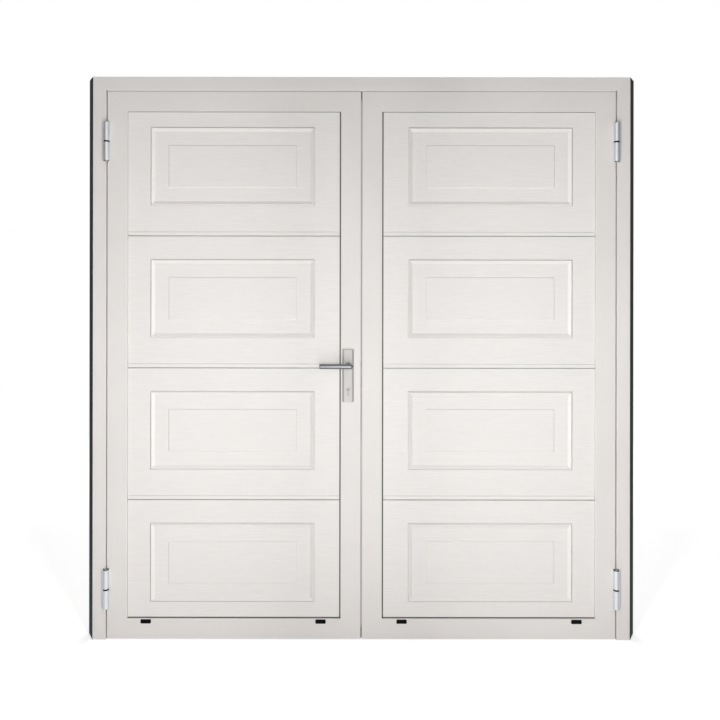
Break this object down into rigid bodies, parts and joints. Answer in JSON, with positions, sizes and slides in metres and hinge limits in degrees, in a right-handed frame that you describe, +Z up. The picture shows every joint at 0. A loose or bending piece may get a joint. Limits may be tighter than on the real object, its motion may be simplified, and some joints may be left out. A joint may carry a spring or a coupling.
{
  "type": "double utility door",
  "caption": "Double utility door in its frame, with coffered panels, a lever lock on the active leaf and flush bolts on the passive one.",
  "frame": {"origin": "on the floor, midway between the jambs and midway through the leaves", "axes": "+X to the right seen from outside, +Y from outside to inside, +Z up"},
  "size_m": [2.103, 0.176, 2.134],
  "materials": {
    "white_coat": "satin",
    "panel_skin": "satin",
    "reveal_rubber": "matte",
    "black_rubber": "matte",
    "grey_rubber": "matte",
    "hinge_alloy": "satin",
    "black_plastic": "satin",
    "lever_metal": "satin",
    "plate_metal": "satin",
    "mill_alloy": "satin",
    "cylinder_nickel": "satin",
    "zinc_steel": "satin"
  },
  "bodies": {
    "frame": {"left_jamb": "white_coat", "right_jamb": "white_coat", "head": "white_coat", "threshold": "mill_alloy", "left_reveal_seal": "reveal_rubber", "right_reveal_seal": "reveal_rubber", "frame_gasket": "black_rubber", "frame_corner_cleats": "mill_alloy", "hinge_pins": "zinc_steel", "hinge_washers": "black_plastic", "left_bottom_hinge_frame_half": "hinge_alloy", "left_top_hinge_frame_half": "hinge_alloy", "right_bottom_hinge_frame_half": "hinge_alloy", "right_top_hinge_frame_half": "hinge_alloy"},
    "left_leaf": {"left_hinge_stile": "white_coat", "left_top_rail": "white_coat", "left_bottom_rail": "white_coat", "left_corner_cleats": "mill_alloy", "left_panel_gasket": "black_rubber", "left_glazing_beads": "white_coat", "left_drain_caps": "black_plastic", "left_meeting_seal": "grey_rubber", "left_panel_1": "panel_skin", "left_panel_2": "panel_skin", "left_panel_3": "panel_skin", "left_panel_4": "panel_skin", "left_bottom_hinge_leaf_half": "hinge_alloy", "left_top_hinge_leaf_half": "hinge_alloy", "left_lock_stile": "white_coat", "lock_case": "zinc_steel", "lock_forend": "zinc_steel", "cylinder_body": "cylinder_nickel", "outer_plate": "plate_metal", "inner_plate": "plate_metal", "plate_screws": "zinc_steel"},
    "right_leaf": {"right_hinge_stile": "white_coat", "right_top_rail": "white_coat", "right_bottom_rail": "white_coat", "right_corner_cleats": "mill_alloy", "right_panel_gasket": "black_rubber", "right_glazing_beads": "white_coat", "right_drain_caps": "black_plastic", "right_meeting_seal": "grey_rubber", "right_panel_1": "panel_skin", "right_panel_2": "panel_skin", "right_panel_3": "panel_skin", "right_panel_4": "panel_skin", "right_bottom_hinge_leaf_half": "hinge_alloy", "right_top_hinge_leaf_half": "hinge_alloy", "right_meeting_stile": "white_coat", "strike_plate": "zinc_steel", "flush_bolt_guides": "zinc_steel"},
    "handle": {"outer_lever": "lever_metal", "inner_lever": "lever_metal", "spindle": "zinc_steel"},
    "latch": {"latch_bolt": "zinc_steel"},
    "deadlock": {"deadbolt": "zinc_steel"},
    "key_core": {"cylinder_core": "cylinder_nickel"},
    "top_bolt": {"top_flush_bolt": "zinc_steel"},
    "bottom_bolt": {"bottom_flush_bolt": "zinc_steel"}
  },
  "joints": [
    {"name": "left_leaf_swing", "type": "hinge", "parent": "frame", "child": "left_leaf", "pos_m": [-0.962, -0.043, 0], "axis": [0, 0, -1], "range_deg": [0, 170]},
    {"name": "right_leaf_swing", "type": "hinge", "parent": "frame", "child": "right_leaf", "pos_m": [0.962, -0.043, 0], "axis": [0, 0, 1], "range_deg": [0, 170]},
    {"name": "lever_turn", "type": "hinge", "parent": "left_leaf", "child": "handle", "pos_m": [-0.0505, 0, 1.042], "axis": [0, -1, 0], "range_deg": [0, 40], "stiffness_Nm_per_rad": 2, "springref_deg": -28.65},
    {"name": "latch_slide", "type": "slide", "parent": "left_leaf", "child": "latch", "axis": [-1, 0, 0], "range_m": [0, 0.014]},
    {"name": "key_turn", "type": "hinge", "parent": "left_leaf", "child": "key_core", "pos_m": [-0.0505, 0, 0.95], "axis": [0, -1, 0], "range_deg": [0, 360]},
    {"name": "deadbolt_slide", "type": "slide", "parent": "left_leaf", "child": "deadlock", "axis": [1, 0, 0], "range_m": [0, 0.02]},
    {"name": "top_bolt_slide", "type": "slide", "parent": "right_leaf", "child": "top_bolt", "axis": [0, 0, 1], "range_m": [0, 0.02]},
    {"name": "bottom_bolt_slide", "type": "slide", "parent": "right_leaf", "child": "bottom_bolt", "axis": [0, 0, -1], "range_m": [0, 0.02]}
  ],
  "couplings": [
    {"joint": "latch_slide", "follows": "lever_turn", "m_per_rad": 0.02005},
    {"joint": "key_turn", "follows": "deadbolt_slide", "rad_per_m": 314.15}
  ]
}
